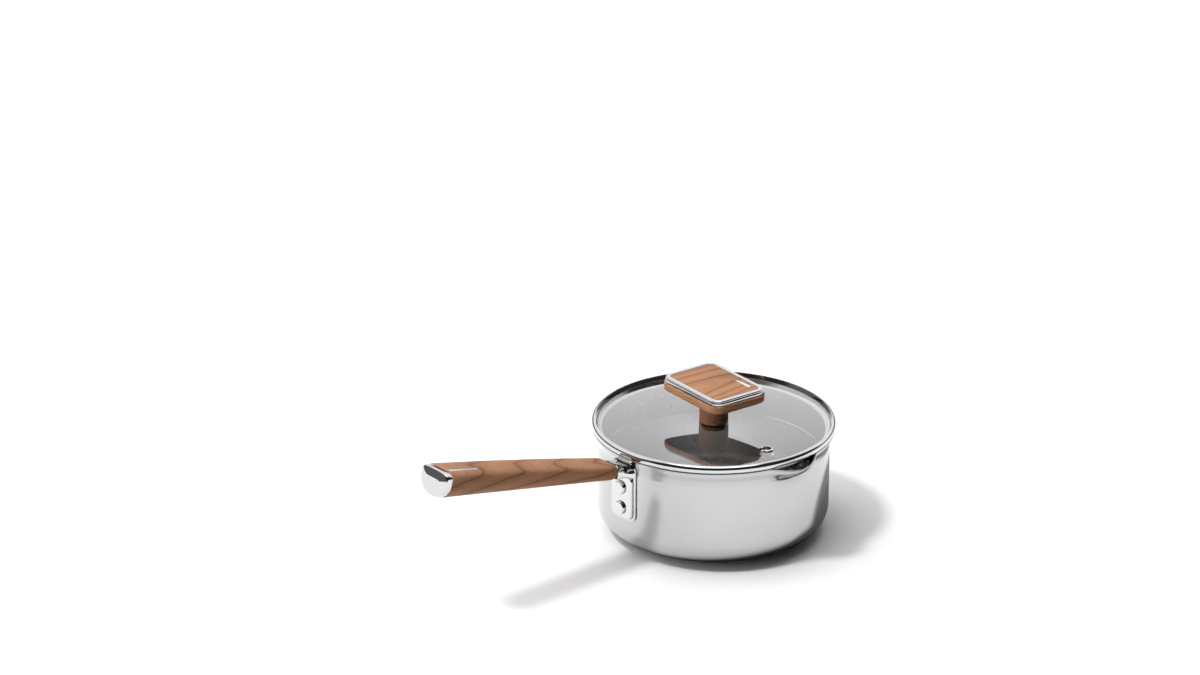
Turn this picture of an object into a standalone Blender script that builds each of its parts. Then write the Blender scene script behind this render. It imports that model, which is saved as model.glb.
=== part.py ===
"""A small steel saucepan with a straining glass lid, built as separate named solids.

Frame: origin on the pot's axis at the underside of the base, +Z up, the handle
points along +X and the two pouring spouts lie on +Y and -Y.  Lengths below are in
millimetres and angles in degrees; `MM` turns them into metres.
"""

import math

import bmesh
import bpy
from mathutils import Matrix, Vector

MM = 0.001
POT_ROUND = 88             # facets round the pot's shell
ROUND = 72                 # facets round the other large turned parts
SMALL_ROUND = 20           # facets round screws, rivets and washers

# pot
WALL_R = 80.4              # outer radius of the straight wall
SHEET = 1.0                # thickness of the pot's sheet
SHELL_BOTTOM = 3.8         # underside of the shell, which sits on the heat-spreading base
CORNER_R = 17.0            # outer radius of the bottom corner
RIM_TOP = 77.0
RIM_R = 84.3
FLARE_START = 68.0         # height where the wall starts to flare out to the rim
SPOUT_OUT = 9.0            # how far a spout's lip stands outside the rim
SPOUT_DROP = 1.6           # how far the lip dips
SPOUT_HALF_ANGLE = 15.0
SPOUT_DEPTH = 14.0         # height over which the spout fades into the wall
BASE_R = 60.6

# lid: levels run upward from the pot's rim
BAND_R = 84.5
BAND_BOTTOM = 77.3
BEAD_TOP = 82.0
GLASS_TOP = 79.0
GLASS_THICK = 3.1
GLASS_R = 80.4
LEDGE_TOP = 75.2
LEDGE_BOTTOM = 74.6
SKIRT_R = 77.6
SKIRT_SHEET = 0.7
SKIRT_BOTTOM = 52.0
HOLE_R = 3.0
HOLE_PITCH = 6.7           # degrees between neighbouring straining holes
HOLE_ROWS = ((67.5, 6), (58.5, 5))
LID_TURN = -3.5            # the lid rests turned a little from the spouts
VENT_RADIUS = 59.0         # how far the steam vent lies from the axis

# knob
KNOB_TOP = 108.6
PLATE_BOTTOM = 99.1
PLATE_TOP = 104.65
PLATE = (23.4, 31.9, 8.8)         # half sizes along X and Y, and the corners' radius
LOWER_TRIM = (22.5, 31.0, 7.9)
TOP_FRAME = (22.2, 30.8, 7.6)
TOP_INLAY = (18.6, 27.2, 4.0)
LOWER_TRIM_WIDTH = 3.6
TOP_FRAME_WIDTH = 3.4
BOSS_INSET = 4.9                   # how far the boss stands in from the plate's edge
NECK_R = 10.0
NECK_BOTTOM = 79.5

# handle: a frame whose origin is the middle of the grip's front end
GRIP_START = (94.0, 69.4)  # X and Z of that origin
GRIP_TILT = 13.0           # degrees the handle rises towards its end
GRIP_LENGTH = 147.0
CAP_LENGTH = 5.4
INLAY_MIDDLE = (133.6, 5.6)       # along and across
INLAY_SIZE = (23.6, 3.2)
INLAY_DEPTH = 1.2
STRAP_R = (80.6, 81.9)            # inner and outer radius of the strap on the wall
STRAP = (12.0, 29.5, 74.9, 5.0)   # half width, bottom, top and corners' radius
PAD_R = 83.6                      # outer radius of the thicker pad under the rivets
PAD = (10.5, 30.9, 63.4, 4.6)
RIVET_HEIGHTS = {"rivet_upper": 53.4, "rivet_lower": 38.4}

COLLECTION = "saucepan_with_glass_lid"

# name: base colour, metallic, roughness, alpha
FINISHES = {
    "polished_steel": ((0.80, 0.80, 0.80), 1.0, 0.16, 1.0),
    "satin_steel": ((0.66, 0.66, 0.67), 1.0, 0.34, 1.0),
    "chrome_trim": ((0.86, 0.86, 0.87), 1.0, 0.07, 1.0),
    "aluminium_core": ((0.72, 0.73, 0.74), 1.0, 0.45, 1.0),
    "wood_grip": ((0.42, 0.25, 0.16), 0.0, 0.42, 1.0),
    "clear_glass": ((0.90, 0.94, 0.93), 0.0, 0.03, 0.35),
    "brass_insert": ((0.72, 0.54, 0.24), 1.0, 0.35, 1.0),
    "black_rubber": ((0.02, 0.02, 0.02), 0.0, 0.65, 1.0),
    "clear_seal": ((0.72, 0.72, 0.70), 0.0, 0.55, 1.0),
}


# ---------------------------------------------------------------- scene helpers

def clear_scene():
    for obj in list(bpy.data.objects):
        bpy.data.objects.remove(obj, do_unlink=True)
    for group in list(bpy.data.collections):
        bpy.data.collections.remove(group)


def new_collection(name):
    group = bpy.data.collections.new(name)
    bpy.context.scene.collection.children.link(group)
    return group


def finish(name):
    """The named Principled material, made on first use."""
    known = bpy.data.materials.get(name)
    if known:
        return known
    colour, metallic, roughness, alpha = FINISHES[name]
    material = bpy.data.materials.new(name)
    material.use_nodes = True
    shader = material.node_tree.nodes["Principled BSDF"]
    shader.inputs["Base Color"].default_value = (*colour, 1.0)
    shader.inputs["Metallic"].default_value = metallic
    shader.inputs["Roughness"].default_value = roughness
    shader.inputs["Alpha"].default_value = alpha
    material.diffuse_color = (*colour, alpha)
    return material


def add(name, mesh, material, group=None):
    obj = bpy.data.objects.new(name, mesh)
    (group or PARTS).objects.link(obj)
    if material:
        obj.data.materials.append(finish(material))
    return obj


def add_cutter(name, mesh):
    obj = add(name, mesh, None, CUTTERS)
    obj.hide_render = True
    obj.display_type = "WIRE"
    return obj


def settled_mesh(obj):
    """The object's shape with its modifiers carried out, as a clean new mesh."""
    bpy.context.view_layer.update()
    graph = bpy.context.evaluated_depsgraph_get()
    mesh = bpy.data.meshes.new_from_object(obj.evaluated_get(graph))
    work = bmesh.new()
    work.from_mesh(mesh)
    bmesh.ops.remove_doubles(work, verts=work.verts, dist=0.002 * MM)
    bmesh.ops.recalc_face_normals(work, faces=work.faces)
    work.to_mesh(mesh)
    work.free()
    return mesh


def settle(obj):
    """Replace an object's modifiers or curve by the mesh they make."""
    mesh = settled_mesh(obj)
    name, group = obj.name, obj.users_collection[0]
    matrix = obj.matrix_world.copy()
    materials = [m for m in obj.data.materials]
    bpy.data.objects.remove(obj, do_unlink=True)
    fresh = bpy.data.objects.new(name, mesh)
    fresh.matrix_world = matrix
    if not mesh.materials:
        for material in materials:
            mesh.materials.append(material)
    group.objects.link(fresh)
    return fresh


def smooth(obj, angle=35.0):
    """Shade round faces smooth and keep true edges sharp."""
    for face in obj.data.polygons:
        face.use_smooth = True
    obj.data.set_sharp_from_angle(angle=math.radians(angle))


def boolean(obj, cutter, operation="DIFFERENCE"):
    modifier = obj.modifiers.new(operation.lower(), "BOOLEAN")
    modifier.operation = operation
    modifier.solver = "EXACT"
    modifier.object = cutter


# ---------------------------------------------------------------- shape helpers

def turned_mesh(name, profile, segments, closed):
    """A mesh turned round Z from (radius, height) points in millimetres."""
    points = [(r * MM, 0.0, z * MM) for r, z in profile]
    edges = [(i, i + 1) for i in range(len(points) - 1)]
    if closed:
        edges.append((len(points) - 1, 0))
    mesh = bpy.data.meshes.new(name)
    mesh.from_pydata(points, edges, [])
    holder = bpy.data.objects.new(name, mesh)
    PARTS.objects.link(holder)
    screw = holder.modifiers.new("turn", "SCREW")
    screw.axis = "Z"
    screw.angle = math.tau
    screw.steps = segments
    screw.render_steps = segments
    screw.use_merge_vertices = True
    screw.merge_threshold = 0.00001
    screw.use_normal_calculate = True
    result = settled_mesh(holder)
    result.name = name
    bpy.data.objects.remove(holder, do_unlink=True)
    return result


def turned(name, profile, material, segments=ROUND, closed=False, at=(0.0, 0.0, 0.0)):
    obj = add(name, turned_mesh(name, profile, segments, closed), material)
    obj.data.transform(Matrix.Translation(Vector(at) * MM))
    smooth(obj)
    return obj


def cylinder_cutter(name, radius, start, end, segments=SMALL_ROUND):
    """A round cutter between two points given in millimetres."""
    a, b = Vector(start), Vector(end)
    length = (b - a).length
    mesh = turned_mesh(name, [(0, length), (radius, length), (radius, 0), (0, 0)], segments, False)
    turn = (b - a).to_track_quat("Z", "Y").to_matrix().to_4x4()
    mesh.transform(Matrix.Translation(a * MM) @ turn)
    return add_cutter(name, mesh)


def rounded_oblong(size, inset=0.0, steps=6):
    """Points of an oblong outline with rounded corners, anticlockwise, moved in by the inset."""
    half_x, half_y, corner = (length - inset for length in size)
    points = []
    for quarter in range(4):
        start = quarter * math.pi / 2
        cx = (half_x - corner) * (1 if quarter in (0, 3) else -1)
        cy = (half_y - corner) * (1 if quarter in (0, 1) else -1)
        for step in range(steps + 1):
            angle = start + step / steps * math.pi / 2
            points.append((cx + corner * math.cos(angle), cy + corner * math.sin(angle)))
    return points


def flat_plate(name, outlines, bottom, top, edge, material, group=None):
    """A flat plate from closed outlines, filled between them, with rounded edges."""
    curve = bpy.data.curves.new(name, "CURVE")
    curve.dimensions = "2D"
    curve.fill_mode = "BOTH"
    curve.extrude = ((top - bottom) / 2 - edge) * MM
    curve.bevel_depth = edge * MM
    curve.offset = -edge * MM
    curve.bevel_resolution = 1
    for outline in outlines:
        spline = curve.splines.new("POLY")
        spline.points.add(len(outline) - 1)
        for point, (x, y) in zip(spline.points, outline):
            point.co = (x * MM, y * MM, 0.0, 1.0)
        spline.use_cyclic_u = True
    holder = add(name, curve, material, group)
    obj = settle(holder)
    obj.data.transform(Matrix.Translation((0, 0, (top + bottom) / 2 * MM)))
    smooth(obj, 30.0)
    return obj


def box_mesh(name, low, high):
    mesh = bpy.data.meshes.new(name)
    work = bmesh.new()
    bmesh.ops.create_cube(work, size=1.0)
    size = Vector(high) - Vector(low)
    middle = (Vector(high) + Vector(low)) / 2
    scale = Matrix.Diagonal((size.x * MM, size.y * MM, size.z * MM, 1.0))
    bmesh.ops.transform(work, matrix=Matrix.Translation(middle * MM) @ scale, verts=work.verts)
    work.to_mesh(mesh)
    work.free()
    return mesh


def loft_mesh(name, rings):
    """Skin equal rings of points (metres) one after another and cap both ends."""
    work = bmesh.new()
    layers = [[work.verts.new(p) for p in ring] for ring in rings]
    count = len(rings[0])
    for near, far in zip(layers, layers[1:]):
        for i in range(count):
            j = (i + 1) % count
            work.faces.new((near[i], near[j], far[j], far[i]))
    work.faces.new(list(reversed(layers[0])))
    work.faces.new(layers[-1])
    bmesh.ops.recalc_face_normals(work, faces=work.faces)
    mesh = bpy.data.meshes.new(name)
    work.to_mesh(mesh)
    work.free()
    return mesh


def power(value, exponent):
    return math.copysign(abs(value) ** exponent, value)


def grip_section(half_width, top, bottom, count=36):
    """The grip's outline (across, up): a nearly flat top over a rounded, narrower belly."""
    middle = top - 0.34 * (top - bottom)
    points = []
    for i in range(count):
        angle = math.tau * (i + 0.5) / count
        c, s = math.cos(angle), math.sin(angle)
        squareness = 2 / 3.6 if s > 0 else 2 / 2.3
        reach = (top - middle) if s > 0 else (middle - bottom)
        points.append((half_width * power(c, squareness), middle + reach * power(s, squareness)))
    return points


def handle_frame():
    """The matrix that carries the handle's own frame (along, across, up) into place."""
    turn = Matrix.Rotation(-math.radians(GRIP_TILT), 4, "Y")
    return Matrix.Translation((GRIP_START[0] * MM, 0, GRIP_START[1] * MM)) @ turn


def handle_ring(along, outline):
    return [handle_frame() @ Vector((along * MM, y * MM, z * MM)) for y, z in outline]


# ---------------------------------------------------------------- pot

def spout_share(x, y):
    """How strongly a point belongs to one of the two spouts, from 0 to 1."""
    off = math.degrees(math.atan2(abs(x), abs(y)))
    if off >= SPOUT_HALF_ANGLE:
        return 0.0
    return math.cos(math.pi / 2 * off / SPOUT_HALF_ANGLE) ** 1.15


def pot_profile():
    """The pot's outer side from the rim down to the middle of the bottom."""
    lip = RIM_TOP - SHEET
    profile = [(RIM_R, lip), (RIM_R - 0.6, lip - 0.05), (RIM_R - 1.1, lip - 0.5)]
    profile += [(82.7, 73.4), (81.1, 69.6), (WALL_R, FLARE_START - 1.5), (WALL_R, 63.0)]
    middle = WALL_R - CORNER_R
    for step in range(7):
        angle = math.pi / 2 * step / 6
        x = middle + CORNER_R * math.cos(angle)
        z = SHELL_BOTTOM + CORNER_R - CORNER_R * math.sin(angle)
        profile.append((x, z))
    profile += [(0.0, SHELL_BOTTOM)]
    return profile


def make_pot_shell():
    mesh = turned_mesh("pot_shell", pot_profile(), POT_ROUND, False)
    for vertex in mesh.vertices:
        x, y, z = vertex.co / MM
        radius = math.hypot(x, y)
        share = spout_share(x, y) if radius > 70 else 0.0
        fade = min(max((z - (RIM_TOP - SPOUT_DEPTH)) / (SPOUT_DEPTH - SHEET), 0.0), 1.0)
        if share * fade > 0.0:
            fade = fade * fade * (3 - 2 * fade)
            push = SPOUT_OUT * share * fade
            vertex.co.x += push * MM * x / radius
            vertex.co.y += push * MM * y / radius
            vertex.co.z -= SPOUT_DROP * share * fade * MM
    lowest = min(mesh.polygons, key=lambda face: face.center.z)
    if lowest.normal.z > 0:
        mesh.flip_normals()
    obj = add("pot_shell", mesh, "polished_steel")
    solid = obj.modifiers.new("sheet", "SOLIDIFY")
    solid.thickness = SHEET * MM
    solid.offset = -1.0
    solid.use_even_offset = True
    for name, height in RIVET_HEIGHTS.items():
        boolean(obj, cylinder_cutter(f"{name}_wall_hole", 2.5, (70, 0, height), (90, 0, height)))
    smooth(obj)
    return obj


def make_base_core():
    profile = [(0, 3.5), (59.2, 3.5), (59.5, 3.2), (59.5, 1.3), (59.2, 1.0), (0, 1.0)]
    return turned("base_core", profile, "aluminium_core")


def make_base_cap():
    profile = [(0, 0.7), (59.2, 0.7), (59.9, 1.2), (59.9, 3.6), (BASE_R, 3.6)]
    profile += [(BASE_R, 0.9), (60.3, 0.25), (59.6, 0.0), (0, 0.0)]
    return turned("base_cap", profile, "satin_steel")


def rounded_box_ring(half_width, bottom, top, corner, upper=None, steps=4):
    """A rounded rectangle (across, up); the upper corners may have a radius of their own."""
    upper = corner if upper is None else upper
    points = []
    corners = ((1, 1), (-1, 1), (-1, -1), (1, -1))
    for quarter, (sy, sz) in enumerate(corners):
        radius = upper if sz > 0 else corner
        cy = sy * (half_width - radius)
        cz = (top - radius) if sz > 0 else (bottom + radius)
        for step in range(steps + 1):
            angle = math.pi / 2 * (quarter + step / steps)
            points.append((cy + radius * math.cos(angle), cz + radius * math.sin(angle)))
    return points


def bracket_neck_rings():
    """The bracket's neck, from inside the strap out to the front end of the grip."""
    rings = []
    stations = (
        (81.2, 12.4, 62.6, 71.4, 5.5),
        (83.6, 11.4, 63.4, 71.6, 6.0),
        (87.0, 10.2, 64.4, 72.6, 6.2),
        (90.0, 9.8, 64.7, 73.9, 6.0),
    )
    for x, half, bottom, top, upper in stations:
        outline = rounded_box_ring(half, bottom, top, 1.6, upper)
        rings.append([Vector((x * MM, y * MM, z * MM)) for y, z in outline])
    rings.append(handle_ring(-0.3, rounded_box_ring(9.6, -5.2, 5.0, 1.6, 5.6)))
    return rings


def curved_sheet(name, inner, outer, outline, group):
    """A sheet curved round the pot's axis, on the handle's side, trimmed to a rounded outline."""
    half, bottom, top, corner = outline
    band = [(outer, top + 2), (outer, bottom - 2), (inner, bottom - 2), (inner, top + 2)]
    obj = add(name, turned_mesh(name, band, ROUND * 2, True), "polished_steel", group)
    outline = rounded_box_ring(half, bottom, top, corner, None, 6)
    keep = [[Vector((x * MM, y * MM, z * MM)) for y, z in outline] for x in (60.0, 95.0)]
    boolean(obj, add_cutter(f"{name}_outline", loft_mesh("outline", keep)), "INTERSECT")
    return obj


def make_handle_bracket():
    """A strap that follows the wall, a thicker pad under the rivets and a neck for the grip."""
    inner = STRAP_R[0]
    obj = curved_sheet("handle_bracket", inner, STRAP_R[1], STRAP, PARTS)
    pad = curved_sheet("bracket_pad", inner + 0.5, PAD_R, PAD, CUTTERS)
    pad.hide_render = True
    pad.display_type = "WIRE"
    boolean(obj, pad, "UNION")
    neck = loft_mesh("neck", bracket_neck_rings())
    boolean(obj, add_cutter("bracket_neck", neck), "UNION")
    under_rim = [(0, 90), (84.8, 90), (84.8, 75.65), (83.6, 75.3), (83.1, 73.3), (81.5, 69.5)]
    under_rim += [(inner, 66.2), (inner, 20), (0, 20)]
    boolean(obj, add_cutter("under_rim", turned_mesh("under_rim", under_rim, POT_ROUND, False)))
    for name, height in RIVET_HEIGHTS.items():
        boolean(obj, cylinder_cutter(f"{name}_plate_hole", 2.5, (70, 0, height), (95, 0, height)))
    socket = [handle_ring(s, rounded_box_ring(7.4, -2.4, 2.4, 0.8)) for s in (-6.3, 4.0)]
    boolean(obj, add_cutter("tang_socket", loft_mesh("socket", socket)))
    obj = settle(obj)
    smooth(obj, 40.0)
    return obj


def make_rivet(name, height):
    """A flat-headed rivet through pad and wall, lying along X."""
    face = PAD_R + 0.15
    wall = WALL_R - SHEET - 0.2
    profile = [(0, face + 1.7), (4.0, face + 1.7), (4.6, face + 1.4), (4.8, face + 0.9)]
    profile += [(4.8, face), (2.3, face), (2.3, wall), (3.6, wall), (3.6, wall - 0.7)]
    profile += [(3.1, wall - 1.1), (0, wall - 1.1)]
    mesh = turned_mesh(name, profile, SMALL_ROUND, False)
    mesh.transform(Matrix.Translation((0, 0, height * MM)) @ Matrix.Rotation(math.pi / 2, 4, "Y"))
    obj = add(name, mesh, "polished_steel")
    smooth(obj)
    return obj


# ---------------------------------------------------------------- handle

def grip_top(along):
    """Height of the grip's top line over its axis, with a slight arch."""
    share = along / GRIP_LENGTH
    return 6.0 + 3.8 * share + 0.8 * 4 * share * (1 - share)


def grip_bottom(along):
    return -6.0 - 3.8 * along / GRIP_LENGTH


def grip_half_width(along):
    return 11.6 + 2.5 * along / GRIP_LENGTH


def grip_ring(along, inset=0.0):
    outline = grip_section(
        grip_half_width(along) - inset, grip_top(along) - inset, grip_bottom(along) + inset
    )
    return handle_ring(along, outline)


def make_handle_grip():
    stations = [(0.0, 2.6), (0.5, 1.7), (1.6, 0.7), (3.2, 0.15), (5.0, 0.0)]
    stations += [(5.0 + (GRIP_LENGTH - 5.6) * i / 9, 0.0) for i in range(1, 10)]
    stations += [(GRIP_LENGTH, 0.35)]
    rings = [grip_ring(along, inset) for along, inset in stations]
    obj = add("handle_grip", loft_mesh("handle_grip", rings), "wood_grip")
    bore = [handle_ring(s, rounded_box_ring(7.6, -2.6, 2.6, 0.8)) for s in (-5.0, 60.0)]
    boolean(obj, add_cutter("tang_bore", loft_mesh("tang_bore", bore)))
    plug = [handle_ring(s, rounded_box_ring(9.3, -6.3, 5.8, 3.0)) for s in (GRIP_LENGTH - 9.0, 160.0)]
    boolean(obj, add_cutter("cap_pocket", loft_mesh("cap_pocket", plug)))
    boolean(obj, inlay_cutter())
    frame = handle_frame()
    for radius, low, high in ((2.4, -20.0, 0.0), (4.3, -20.0, grip_bottom(30.0) + 2.9)):
        hole = turned_mesh("screw_hole", [(0, high), (radius, high), (radius, low), (0, low)],
                           SMALL_ROUND, False)
        hole.transform(frame @ Matrix.Translation((30.0 * MM, 0, 0)))
        boolean(obj, add_cutter(f"screw_hole_{radius:.0f}", hole))
    obj = settle(obj)
    smooth(obj, 32.0)
    return obj


def inlay_box(grow, low, high):
    """The inlay strip's box, following the slope of the grip's top."""
    along, across = INLAY_MIDDLE
    slope = math.atan2(grip_top(along + 5) - grip_top(along - 5), 10.0)
    length, width = INLAY_SIZE
    mesh = box_mesh(
        "inlay",
        (-length / 2 - grow, -width / 2 - grow, low),
        (length / 2 + grow, width / 2 + grow, high),
    )
    seat = Matrix.Translation((along * MM, across * MM, (grip_top(along) - 0.25) * MM))
    mesh.transform(handle_frame() @ seat @ Matrix.Rotation(-slope, 4, "Y"))
    return mesh


def inlay_cutter():
    return add_cutter("inlay_pocket", inlay_box(0.15, -INLAY_DEPTH - 0.15, 4.0))


def make_handle_inlay_strip():
    obj = add("handle_inlay_strip", inlay_box(0.0, -INLAY_DEPTH, 0.2), "chrome_trim")
    bevel = obj.modifiers.new("soft_edge", "BEVEL")
    bevel.width = 0.2 * MM
    bevel.segments = 2
    return settle(obj)


def make_handle_end_cap():
    start, end = GRIP_LENGTH + 0.3, GRIP_LENGTH + CAP_LENGTH
    stations = ((start, 0.5), (start + 0.4, 0.2), (end - 1.3, 0.35), (end - 0.4, 0.8), (end, 1.7))
    rings = [grip_ring(along, inset) for along, inset in stations]
    obj = add("handle_end_cap", loft_mesh("handle_end_cap", rings), "chrome_trim")
    plug = [handle_ring(s, rounded_box_ring(9.0, -6.0, 5.5, 3.0)) for s in (GRIP_LENGTH - 8.4, start + 2)]
    boolean(obj, add_cutter("cap_plug", loft_mesh("cap_plug", plug)), "UNION")
    obj = settle(obj)
    smooth(obj, 32.0)
    return obj


def make_handle_tang():
    rings = [handle_ring(s, rounded_box_ring(7.1, -2.1, 2.1, 0.8)) for s in (-6.0, 57.0)]
    obj = add("handle_tang", loft_mesh("handle_tang", rings), "satin_steel")
    hole = turned_mesh("tang_hole", [(0, 6), (2.0, 6), (2.0, -6), (0, -6)], SMALL_ROUND, False)
    hole.transform(handle_frame() @ Matrix.Translation((30.0 * MM, 0, 0)))
    boolean(obj, add_cutter("tang_hole", hole))
    obj = settle(obj)
    smooth(obj)
    return obj


def make_handle_screw():
    """The countersunk screw that pulls the grip onto its tang from below."""
    seat = grip_bottom(30.0)
    profile = [(0, 1.9), (1.7, 1.9), (1.7, seat + 2.6), (4.0, seat + 2.6), (4.0, seat + 1.4)]
    profile += [(3.6, seat + 0.9), (0, seat + 0.9)]
    mesh = turned_mesh("handle_screw", profile, SMALL_ROUND, False)
    mesh.transform(handle_frame() @ Matrix.Translation((30.0 * MM, 0, 0)))
    obj = add("handle_screw", mesh, "satin_steel")
    smooth(obj)
    return obj


# ---------------------------------------------------------------- lid

def make_lid_ring():
    """The steel ring round the glass: outer band, bead, glass seat and straining skirt."""
    inner = SKIRT_R - SKIRT_SHEET
    profile = [
        (82.4, BEAD_TOP), (83.3, BEAD_TOP - 0.25), (84.1, BEAD_TOP - 0.85), (BAND_R, BEAD_TOP - 1.9),
        (BAND_R, BAND_BOTTOM), (81.7, BAND_BOTTOM), (81.7, LEDGE_BOTTOM + 0.6), (81.1, LEDGE_BOTTOM),
        (SKIRT_R + 0.3, LEDGE_BOTTOM),
        (SKIRT_R, LEDGE_BOTTOM - 0.3), (SKIRT_R, SKIRT_BOTTOM + 0.3), (SKIRT_R - 0.3, SKIRT_BOTTOM),
        (inner - 0.6, SKIRT_BOTTOM), (inner - 0.8, SKIRT_BOTTOM + 0.4),
        (inner - 0.8, SKIRT_BOTTOM + 1.6), (inner, SKIRT_BOTTOM + 2.4), (inner, LEDGE_TOP),
        (81.2, LEDGE_TOP), (81.2, GLASS_TOP + 0.1), (80.7, GLASS_TOP + 0.12), (82.1, BEAD_TOP - 0.1),
    ]
    obj = turned("lid_ring", profile, "polished_steel", closed=True)
    for side, middle in (("front", 90.0), ("back", 270.0)):
        for height, count in HOLE_ROWS:
            for i in range(count):
                angle = math.radians(middle + HOLE_PITCH * (i - (count - 1) / 2))
                way = Vector((math.cos(angle), math.sin(angle), 0))
                start = way * 70 + Vector((0, 0, height))
                end = way * 84 + Vector((0, 0, height))
                name = f"strain_{side}_{height:.0f}_{i}"
                boolean(obj, cylinder_cutter(name, HOLE_R, start, end, 16))
    obj = settle(obj)
    smooth(obj)
    return obj


def make_glass_seal():
    """The soft ring the glass is bedded in: a flat under the edge and a lip round it."""
    glass_bottom = GLASS_TOP - GLASS_THICK
    profile = [
        (81.05, GLASS_TOP - 0.2), (81.05, LEDGE_TOP + 0.12), (77.2, LEDGE_TOP + 0.12),
        (77.2, glass_bottom - 0.12), (80.55, glass_bottom - 0.12), (80.55, GLASS_TOP - 0.2),
    ]
    return turned("glass_seal", profile, "clear_seal", closed=True)


def make_lid_glass():
    bottom = GLASS_TOP - GLASS_THICK
    profile = [
        (GLASS_R - 0.5, GLASS_TOP), (GLASS_R, GLASS_TOP - 0.5), (GLASS_R, bottom + 0.5),
        (GLASS_R - 0.5, bottom), (3.3, bottom), (3.3, GLASS_TOP),
    ]
    obj = turned("lid_glass", profile, "clear_glass", closed=True)
    middle = (0, VENT_RADIUS)
    boolean(obj, cylinder_cutter("vent_hole", 3.8, (*middle, 70), (*middle, 85)))
    obj = settle(obj)
    smooth(obj)
    return obj


def make_vent_grommet():
    """The steel eyelet that lines the steam hole."""
    bottom = GLASS_TOP - GLASS_THICK
    profile = [
        (3.2, GLASS_TOP + 1.0), (4.2, GLASS_TOP + 0.9), (5.0, GLASS_TOP + 0.5),
        (5.15, GLASS_TOP + 0.12), (3.6, GLASS_TOP + 0.12), (3.6, bottom - 0.12),
        (4.8, bottom - 0.12), (4.7, bottom - 0.5), (4.0, bottom - 0.8), (3.1, bottom - 0.8),
        (2.8, bottom - 0.5), (2.8, GLASS_TOP + 0.6),
    ]
    return turned(
        "vent_grommet", profile, "polished_steel", SMALL_ROUND, True, (0, VENT_RADIUS, 0)
    )


def make_knob_body():
    """The wood-look plate and neck in one piece, bored for its threaded insert."""
    obj = flat_plate(
        "knob_body", [rounded_oblong(PLATE)], PLATE_BOTTOM, PLATE_TOP, 0.6, "wood_grip"
    )
    boss = flat_plate(
        "knob_boss", [rounded_oblong(PLATE, BOSS_INSET)], PLATE_TOP - 1, KNOB_TOP - 1.5, 0.1, None,
        CUTTERS,
    )
    neck = turned_mesh(
        "knob_neck",
        [(0, PLATE_BOTTOM + 1), (NECK_R + 0.8, PLATE_BOTTOM + 1), (NECK_R + 0.8, PLATE_BOTTOM - 0.2),
         (NECK_R + 0.2, PLATE_BOTTOM - 1), (NECK_R, PLATE_BOTTOM - 2.2), (NECK_R, NECK_BOTTOM + 1.2),
         (NECK_R - 0.4, NECK_BOTTOM + 0.4), (NECK_R - 1.2, NECK_BOTTOM), (0, NECK_BOTTOM)],
        48, False,
    )
    for part in (boss, add_cutter("knob_neck", neck)):
        part.hide_render = True
        part.display_type = "WIRE"
        boolean(obj, part, "UNION")
    boolean(obj, cylinder_cutter("insert_bore", 3.8, (0, 0, 70), (0, 0, 92)))
    obj = settle(obj)
    smooth(obj, 32.0)
    return obj


def make_knob_trims():
    """The two bright frames: one on the plate, one round the panel on top."""
    lower = [rounded_oblong(LOWER_TRIM), rounded_oblong(LOWER_TRIM, LOWER_TRIM_WIDTH)]
    upper = [rounded_oblong(TOP_FRAME), rounded_oblong(TOP_FRAME, TOP_FRAME_WIDTH)]
    flat_plate("knob_lower_trim", lower, PLATE_TOP + 0.4, KNOB_TOP - 1.75, 0.4, "chrome_trim")
    flat_plate("knob_top_frame", upper, KNOB_TOP - 1.3, KNOB_TOP, 0.35, "chrome_trim")


def make_knob_inlay():
    """The wood-look panel in the top frame and the bright strip let into it."""
    panel = flat_plate(
        "knob_top_inlay", [rounded_oblong(TOP_INLAY)], KNOB_TOP - 1.35, KNOB_TOP - 0.1, 0.15,
        "wood_grip",
    )
    strip = ((-15.4, 6.4), (-13.2, 21.4))
    low, high = strip
    gap = 0.12
    pocket = box_mesh("pocket", (low[0] - gap, low[1] - gap, KNOB_TOP - 0.9),
                      (high[0] + gap, high[1] + gap, KNOB_TOP + 2))
    boolean(panel, add_cutter("strip_pocket", pocket))
    panel = settle(panel)
    smooth(panel, 30.0)
    bar = box_mesh("knob_inlay_strip", (*low, KNOB_TOP - 0.8), (*high, KNOB_TOP - 0.02))
    obj = add("knob_inlay_strip", bar, "chrome_trim")
    bevel = obj.modifiers.new("soft_edge", "BEVEL")
    bevel.width = 0.12 * MM
    bevel.segments = 2
    settle(obj)


def make_knob_fixings():
    """What holds the knob on: insert, seals, washer and the screw from below the glass."""
    bottom = GLASS_TOP - GLASS_THICK
    turned("knob_insert", [(3.6, 91), (3.6, 80), (2.1, 80), (2.1, 91)], "brass_insert",
           SMALL_ROUND, True)
    turned("knob_seal_washer", [(9.3, 79.4), (9.3, 79.1), (2.4, 79.1), (2.4, 79.4)],
           "black_rubber", SMALL_ROUND, True)
    turned("knob_lower_gasket", [(8.4, bottom - 0.1), (8.4, bottom - 0.9), (2.4, bottom - 0.9),
                                 (2.4, bottom - 0.1)], "black_rubber", SMALL_ROUND, True)
    turned("knob_steel_washer", [(8.4, bottom - 1.0), (8.4, bottom - 1.8), (2.4, bottom - 1.8),
                                 (2.4, bottom - 1.0)], "satin_steel", SMALL_ROUND, True)
    head = bottom - 1.9
    turned("knob_screw", [(0, 90), (1.9, 90), (1.9, head), (4.6, head), (4.5, head - 1.2),
                          (3.6, head - 2.2), (0, head - 2.6)], "satin_steel", SMALL_ROUND)


LID_NODES = (
    "lid_ring", "glass_seal", "lid_glass", "vent_grommet", "knob_body", "knob_lower_trim",
    "knob_top_frame", "knob_top_inlay", "knob_inlay_strip", "knob_insert", "knob_seal_washer",
    "knob_lower_gasket", "knob_steel_washer", "knob_screw",
)


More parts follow.
